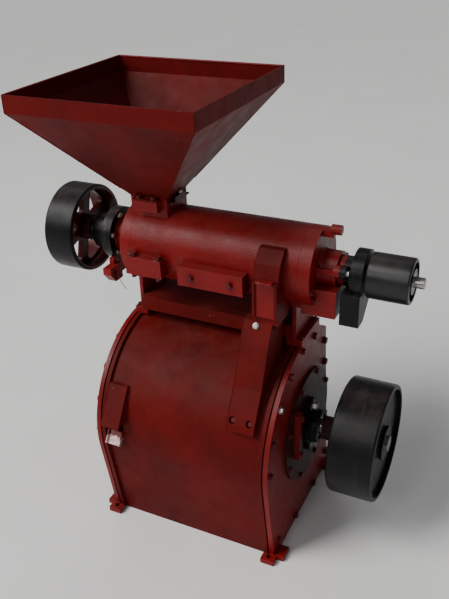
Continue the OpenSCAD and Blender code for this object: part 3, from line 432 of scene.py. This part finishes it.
def rings(bm, profile, sides, place):
    """Closed round shell: profile is a list of (z, radius) and place a 4x4."""
    loops = []
    for z, r in profile:
        loops.append([bm.verts.new(place @ Vector((r * math.cos(a), r * math.sin(a), z)))
                      for a in full_turn(sides)])
    skin(bm, loops)


HEAD_SIDES = 48
HEAD_CUT = math.tan(math.radians(28))  # slope of the cone that cuts the corners


def head_shell(bm, corner_r, z0, z1, place, both=False):
    """Hexagon head or nut from z0 to z1 with cone-cut corners on top, and below if both."""
    half_side = math.pi / 6
    across = corner_r * math.cos(half_side)
    angles = full_turn(HEAD_SIDES)
    hexagon = [across / math.cos(a % (2 * half_side) - half_side) for a in angles]
    circle = [across * 0.985] * HEAD_SIDES
    drops = [(r - flat) * HEAD_CUT + 0.00005 for r, flat in zip(hexagon, circle)]
    if both:
        profile = [(circle, [z0] * HEAD_SIDES), (hexagon, [z0 + drop for drop in drops])]
    else:
        profile = [(hexagon, [z0] * HEAD_SIDES)]
    profile.append((hexagon, [z1 - drop for drop in drops]))
    profile.append((circle, [z1] * HEAD_SIDES))
    profile.append(([r * 0.9 for r in circle], [z1 + 0.00002] * HEAD_SIDES))
    loops = []
    for radii, heights in profile:
        loops.append([bm.verts.new(place @ Vector((r * math.cos(a), r * math.sin(a), z)))
                      for a, r, z in zip(angles, radii, heights)])
    skin(bm, loops)


def washer_shell(bm, r, t, place):
    """Round washer of radius r and thickness t with a broken upper edge."""
    edge = min(0.25 * t, 0.0005)
    rings(bm, [(0.0, r), (t - edge, r), (t, r - edge)], 40, place)


# A bolt's heights and radii, as shares of its thread's diameter
STACK = 0.85  # head and washer together
WASHER = 0.20
CORNER = 0.90
SHANK = 0.50


def bolt_mesh(bm, d, length, place):
    """Washer, chamfered hexagon head and shank; the head's top is at the origin of place."""
    face = -STACK * d
    washer_shell(bm, d, WASHER * d, place @ Matrix.Translation((0, 0, face)))
    head_shell(bm, CORNER * d, face + (WASHER - 0.01) * d, 0.0, place)
    shank = [(-length, (SHANK - 0.06) * d), (-length + 0.06 * d, SHANK * d), (face + 0.1 * d, SHANK * d)]
    rings(bm, shank, 24, place)


def islands(node):
    """The separate solids of a CAD node, each as a list of points."""
    bm = bmesh.new()
    bm.from_mesh(node.data)
    bmesh.ops.remove_doubles(bm, verts=bm.verts, dist=0.00002)
    found, seen = [], set()
    for start in bm.verts:
        if start.index in seen:
            continue
        seen.add(start.index)
        stack, points = [start], []
        while stack:
            vert = stack.pop()
            points.append(vert.co.copy())
            for edge in vert.link_edges:
                other = edge.other_vert(vert)
                if other.index not in seen:
                    seen.add(other.index)
                    stack.append(other)
        found.append(points)
    bm.free()
    return found


def measure_bolt(points, line):
    """A plain bolt's top, its direction from shank to head, its washer's radius and its length."""
    centre = sum(points, Vector()) / len(points)
    heights = [(p - centre).dot(line) for p in points]
    # The bolt's own axis is the middle of its box across the line
    level = [p - line * t for p, t in zip(points, heights)]
    lo = Vector((min(p[i] for p in level) for i in range(3)))
    hi = Vector((max(p[i] for p in level) for i in range(3)))
    hub = (lo + hi) / 2
    hub -= line * (hub - centre).dot(line)
    radii = [(p - hub - line * (p - hub).dot(line)).length for p in points]
    widest = max(radii)
    # The head's end is the one where the wide points are
    wide = [t for t, r in zip(heights, radii) if r > 0.8 * widest]
    way = 1.0 if sum(wide) / len(wide) > (min(heights) + max(heights)) / 2 else -1.0
    up = line * way
    top = max(t * way for t in heights)
    length = max(heights) - min(heights)
    return hub + up * top, up, widest, length


def bolt_pieces(name, body, axis, finish, pick):
    """Stands detailed bolts in for a CAD node of plain ones. axis is their line; pick chooses a finish."""
    groups = {}
    for points in islands(nodes[name]):
        bolt = measure_bolt(points, Vector(axis).normalized())
        material = pick(bolt[0]) if pick else finish
        groups.setdefault(material.name, []).append(bolt)
    for key in sorted(groups):
        bm = bmesh.new()
        for top, up, washer_r, length in groups[key]:
            place = Matrix.Translation(top) @ basis(up, rng.uniform(0, math.pi))
            # The cylinder's flange bolts have separate nuts, which are short and have no washer
            if name == "cover_bolts" and length < 1.5 * washer_r:
                head_shell(bm, washer_r, -length, 0.0, place, both=True)
            else:
                bolt_mesh(bm, washer_r, length, place)
        suffix = "" if len(groups) == 1 else "_" + key.split("_")[0]
        make(name + "_detail" + suffix, bm, body, bpy.data.materials[key])
    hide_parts(name)


def tube(bm, path, radii, sides=8):
    """Closed tube along points, with a radius for each."""
    loops = []
    for i, (p, r) in enumerate(zip(path, radii)):
        turn = basis(path[min(i + 1, len(path) - 1)] - path[max(i - 1, 0)]).to_3x3()
        loops.append([bm.verts.new(p + turn @ Vector((math.cos(t), math.sin(t), 0)) * r)
                      for t in full_turn(sides)])
    skin(bm, loops)


def finely(path, step):
    """The same line with points no further apart than about step."""
    points = []
    for a, b in zip(path, path[1:]):
        a, b = Vector(a), Vector(b)
        count = max(1, round((b - a).length / step))
        points += [a.lerp(b, i / count) for i in range(count)]
    return points + [Vector(path[-1])]


def beads(name, paths, r):
    """Rippled weld beads along several lines, thin at both ends."""
    bm = bmesh.new()
    for seed, path in enumerate(paths):
        points = finely(path, r * 0.6)
        last = len(points) - 1
        radii = []
        for i, p in enumerate(points):
            ripple = 0.80 + 0.20 * abs(math.sin(i * 0.85))
            uneven = 0.14 * noise.noise(p * 80.0 + Vector((seed, 0, 0)))
            ends = min(1.0, 0.35 + 0.3 * min(i, last - i))
            radii.append(r * ends * (ripple + uneven))
        tube(bm, points, radii)
    make(name, bm, "frame", red_sheet, smooth=60.0)


ARC_STEPS = 24


def arc(x, radius, height, start, end):
    """Points of an arc round the X direction, angles in degrees from +Y towards +Z."""
    points = []
    for i in range(ARC_STEPS + 1):
        a = math.radians(start + (end - start) * i / ARC_STEPS)
        points.append((x, radius * math.cos(a), height + radius * math.sin(a)))
    return points


FILLET_SIDES = 72
FILLET_STEPS = 6
FACE_SINK = 0.0008  # how deep a fillet reaches into the face and into the neck
NECK_SINK = 0.0012


def ring_fillets(name, places, height):
    """Concave rings where a round neck meets a face: (face x, way, neck radius, size)."""
    bm = bmesh.new()
    for face_x, way, neck, size in places:
        section = [(-FACE_SINK, neck - NECK_SINK), (-FACE_SINK, neck + size)]
        for k in range(FILLET_STEPS + 1):
            t = math.pi / 2 * k / FILLET_STEPS
            section.append((size * (1 - math.cos(t)), neck + size * (1 - math.sin(t))))
        section.append((size, neck - NECK_SINK))
        loops = []
        for a in full_turn(FILLET_SIDES):
            loops.append([bm.verts.new((face_x + way * x, r * math.cos(a), height + r * math.sin(a)))
                          for x, r in section])
        skin(bm, loops, closed=True)
    make(name, bm, "frame", red_cast_and_painted_light, smooth=50.0)


# ---------------------------------------------------------------- camera, floor and light

CAMERA = Vector((0.7734, -1.5141, 1.5187))
AZIMUTH, ELEVATION, ROLL = 0.4649, 0.4942, -0.0355
FOCAL = 753.8  # in the same unit as LONG_SIDE
LONG_SIDE = 599
SENSOR = 36.0

forward = Vector((-math.sin(AZIMUTH) * math.cos(ELEVATION), math.cos(AZIMUTH) * math.cos(ELEVATION),
                  -math.sin(ELEVATION)))
level = Vector((math.cos(AZIMUTH), math.sin(AZIMUTH), 0.0))
above = level.cross(forward)
right = level * math.cos(ROLL) + above * math.sin(ROLL)
upper = above * math.cos(ROLL) - level * math.sin(ROLL)
camera_data = bpy.data.cameras.new("camera")
camera_data.sensor_width = SENSOR
camera_data.lens = SENSOR * FOCAL / LONG_SIDE
camera_data.clip_start = 0.05
camera_data.clip_end = 60.0
camera = placed("camera", camera_data)
camera.matrix_world = Matrix.Translation(CAMERA) @ Matrix((right, upper, -forward)).transposed().to_4x4()
bpy.context.scene.camera = camera

FLOOR_HALF = 30.0
FLOOR_Z = -0.0005
pale = Graph("pale_floor")
shade = pale.mix(pale.ramp(pale.noise(1.6, 4.0), 0.3, 0.7), (0.80, 0.80, 0.79), (0.84, 0.84, 0.83))
pale.finish(shade, pale.ramp(pale.noise(4.0), 0.3, 0.7, 0.75, 0.85))
bm = bmesh.new()
bmesh.ops.create_grid(bm, x_segments=2, y_segments=2, size=FLOOR_HALF)
floor_mesh = bpy.data.meshes.new("floor")
bm.to_mesh(floor_mesh)
bm.free()
floor_mesh.materials.append(pale.material)
floor = placed("floor", floor_mesh)
floor.location = (0.0, 0.0, FLOOR_Z)

world = bpy.data.worlds.new("studio")
world.use_nodes = True
world.node_tree.nodes["Background"].inputs["Color"].default_value = (0.93, 0.95, 1.0, 1.0)
world.node_tree.nodes["Background"].inputs["Strength"].default_value = 0.16
bpy.context.scene.world = world


def lamp(name, kind, energy, colour, direction):
    """A lamp that shines in a direction."""
    data = bpy.data.lights.new(name, kind)
    data.energy = energy
    data.color = colour
    light = placed(name, data)
    light.rotation_mode = "QUATERNION"
    light.rotation_quaternion = Vector(direction).to_track_quat("-Z", "Y")
    return light


def softbox(name, place, target, size, power, colour=(1.0, 1.0, 1.0)):
    """A rectangle of light at place, facing target."""
    light = lamp(name, "AREA", power, colour, Vector(target) - Vector(place))
    light.location = place
    light.data.shape = "RECTANGLE"
    light.data.size, light.data.size_y = size


# A large far lamp for the even, pale floor, and near softboxes for the object
sun = lamp("broad_light", "SUN", 2.5, (1.0, 0.98, 0.96), (0.66, 0.62, -1.0))
sun.data.angle = math.radians(28)
softbox("key", (-1.9, -2.5, 2.3), (0.0, 0.0, 0.7), (1.4, 1.1), 34.0, (1.0, 0.97, 0.94))
softbox("front", (0.1, -2.7, 2.2), (0.1, 0.0, 0.75), (0.5, 0.4), 10.0, (1.0, 0.97, 0.95))
softbox("fill", (3.2, -1.0, 2.6), (0.0, 0.0, 0.5), (2.0, 2.0), 7.0, (0.93, 0.96, 1.0))
softbox("rear", (-1.8, 1.9, 4.2), (0.0, 0.0, 0.6), (2.0, 1.5), 30.0)


# ---------------------------------------------------------------- added pieces

BARE_RIM_Y = (-0.200, -0.170)
BARE_RIM_Z = (0.43, 0.47)


def rim_bolt(top):
    """One bolt on the right end plate's rim has lost its paint."""
    at_y = BARE_RIM_Y[0] < top.y < BARE_RIM_Y[1]
    at_z = BARE_RIM_Z[0] < top.z < BARE_RIM_Z[1]
    return zinc if top.x > 0 and at_y and at_z else red_bolt


def neck_bolt(top):
    """The bolts at the hopper's rear right lug have lost theirs."""
    return zinc if top.x > HOPPER_X and top.y > 0 else red_bolt


ALONG_X, ALONG_Y, ALONG_Z = (1, 0, 0), (0, 1, 0), (0, 0, 1)
CHUTE_ANGLE = math.radians(149)  # direction of the chute's bolts, from +Y towards +Z
CHUTE_BOLT_LINE = (0, math.cos(CHUTE_ANGLE), math.sin(CHUTE_ANGLE))
CHUTE_JOINT_LINE = (0, -2, 1)
BACK_LINE = (0, 1, 0.0997)  # square to the leaning back cover

BOLTS = {
    "casing_bolts": (ALONG_X, red_bolt, rim_bolt),
    "end_cover_bolts": (ALONG_X, red_bolt, None),
    "mill_bearing_bolts": (ALONG_X, zinc, None),
    "head_bolts": (ALONG_X, red_bolt, None),
    "feed_bearing_bolts": (ALONG_X, zinc, None),
    "cover_bolts": (ALONG_Z, red_bolt, None),
    "stand_bolts": (ALONG_Z, red_bolt, None),
    "hopper_bolts": (ALONG_Z, red_bolt, neck_bolt),
    "blade_screws": (ALONG_Y, red_bolt, None),
    "chute_bolts": (CHUTE_BOLT_LINE, red_bolt, None),
    "chute_joint_bolt": (CHUTE_JOINT_LINE, zinc, None),
    "back_cover_bolts": (BACK_LINE, red_bolt, None),
}
for name, (axis, finish, pick) in BOLTS.items():
    bolt_pieces(name, "blade" if name == "blade_screws" else "frame", axis, finish, pick)

CORNERS = ((-1, -1), (1, -1), (1, 1), (-1, 1))

# Welds of the hopper's corners, set a little into the sheet
BAND_WELD = HOPPER_HALF - 0.0012
THROAT_WELD = THROAT_HALF - 0.0005
seams = []
for sx, sy in CORNERS:
    band = (HOPPER_X + sx * BAND_WELD, sy * BAND_WELD)
    throat = (HOPPER_X + sx * THROAT_WELD, sy * THROAT_WELD)
    seams.append([(*band, HOPPER_TOP - 0.003), (*band, HOPPER_TOP - HOPPER_BAND), (*throat, THROAT_Z)])
beads("hopper_corner_welds", seams, 0.0020)

# The rim's sheet is folded over into a thin round edge
LIP_R = 0.0024
lip_half = HOPPER_HALF - LIP_R
bm = bmesh.new()
for (sx, sy), (ex, ey) in zip(CORNERS, CORNERS[1:] + CORNERS[:1]):
    start = (HOPPER_X + sx * lip_half, sy * lip_half, HOPPER_TOP - LIP_R)
    end = (HOPPER_X + ex * lip_half, ey * lip_half, HOPPER_TOP - LIP_R)
    points = finely([start, end], 0.02)
    radii = [LIP_R * (0.93 + 0.07 * noise.noise(p * 25.0)) for p in points]
    radii[0] *= 0.8
    radii[-1] *= 0.8
    tube(bm, points, radii, 12)
# The round edge takes the lighter cast red as a painted highlight along the rim's top
make("hopper_rim_edge", bm, "frame", red_cast_and_painted_light)

# Welds of the chute's corners and of the chute and the hood to the casings.
# The side outlines are (y, z), the sides' places are x, and the arcs run between two angles.
CHUTE_LOW = ((-0.124, 0.640), (-0.152, 0.584), (-0.192, 0.492), (-0.236, 0.418), (-0.242, 0.398))
CHUTE_TOP = ((-0.124, 0.752), (-0.113, 0.784), (-0.086, 0.812), (-0.071, 0.812))
CHUTE_END = (-0.0712, 0.812)
SPOUT = ((-0.2186, 0.4265), (-0.2790, 0.3345))
CHUTE_LOW_X = (0.125, 0.197)
CHUTE_TOP_X = (0.150, 0.211)
SPOUT_X = (-0.213, -0.160)
CHUTE_WELD = 0.0006  # how far the welds are set into the corners
SPOUT_WELD = 0.0004


def inwards(pair, depth):
    """Both places of a pair, moved towards each other."""
    return pair[0] + depth, pair[1] - depth


seams = [[(x, y + CHUTE_WELD, z) for y, z in CHUTE_LOW] for x in inwards(CHUTE_LOW_X, CHUTE_WELD)]
seams += [[(x, y + CHUTE_WELD, z - CHUTE_WELD) for y, z in CHUTE_TOP]
          for x in inwards(CHUTE_TOP_X, CHUTE_WELD)]
seams += [arc(x, CASING_R, FEED_H, 137, 222) for x in CHUTE_TOP_X]
seams += [arc(x, SHEET_R, MILL_H, 104, 153) for x in CHUTE_LOW_X]
seams += [[(x, *CHUTE_END) for x in CHUTE_TOP_X]]
seams += [[(x, y, z) for y, z in SPOUT] for x in inwards(SPOUT_X, SPOUT_WELD)]
seams += [arc(x, SHEET_R, MILL_H, 147, 168) for x in SPOUT_X]
beads("sheet_welds", seams, 0.0016)

# Casting fillets of the cylinder's heads
NECK_R = 0.044
ring_fillets("head_fillets",
             [(-0.224, -1, NECK_R, 0.006), (-0.272, 1, NECK_R, 0.003), (0.274, 1, NECK_R, 0.006)], FEED_H)

# Bare round knob on the upturned end of the slide gate
GATE_TIP = (-0.0970, 0.0, 0.8770)
KNOB_R = 0.0065
STEM_R = 0.0018
STEM_DEPTH = 0.004
ball = [math.radians(step) for step in range(20, 161, 14)]
profile = [(-STEM_DEPTH, STEM_R)]
profile += [(KNOB_R * (1 - math.cos(t)), KNOB_R * math.sin(t)) for t in ball]
bm = bmesh.new()
rings(bm, profile, 24, Matrix.Translation(GATE_TIP))
make("gate_knob", bm, "gate", bright)

# A twist of soft wire is left in the hole of the left lug
WIRE_R = 0.0009
WIRE = [(-0.2880, -0.0690, 0.6490), (-0.2885, -0.0715, 0.6570), (-0.2870, -0.0720, 0.6605),
        (-0.2730, -0.0720, 0.6595), (-0.2580, -0.0722, 0.6600), (-0.2545, -0.0725, 0.6570),
        (-0.2500, -0.0730, 0.6490), (-0.2440, -0.0735, 0.6380), (-0.2370, -0.0728, 0.6290),
        (-0.2325, -0.0722, 0.6215)]
points = finely(WIRE, 0.004)
bm = bmesh.new()
tube(bm, points, [WIRE_R] * len(points))
make("lug_wire", bm, "frame", dark_metal)
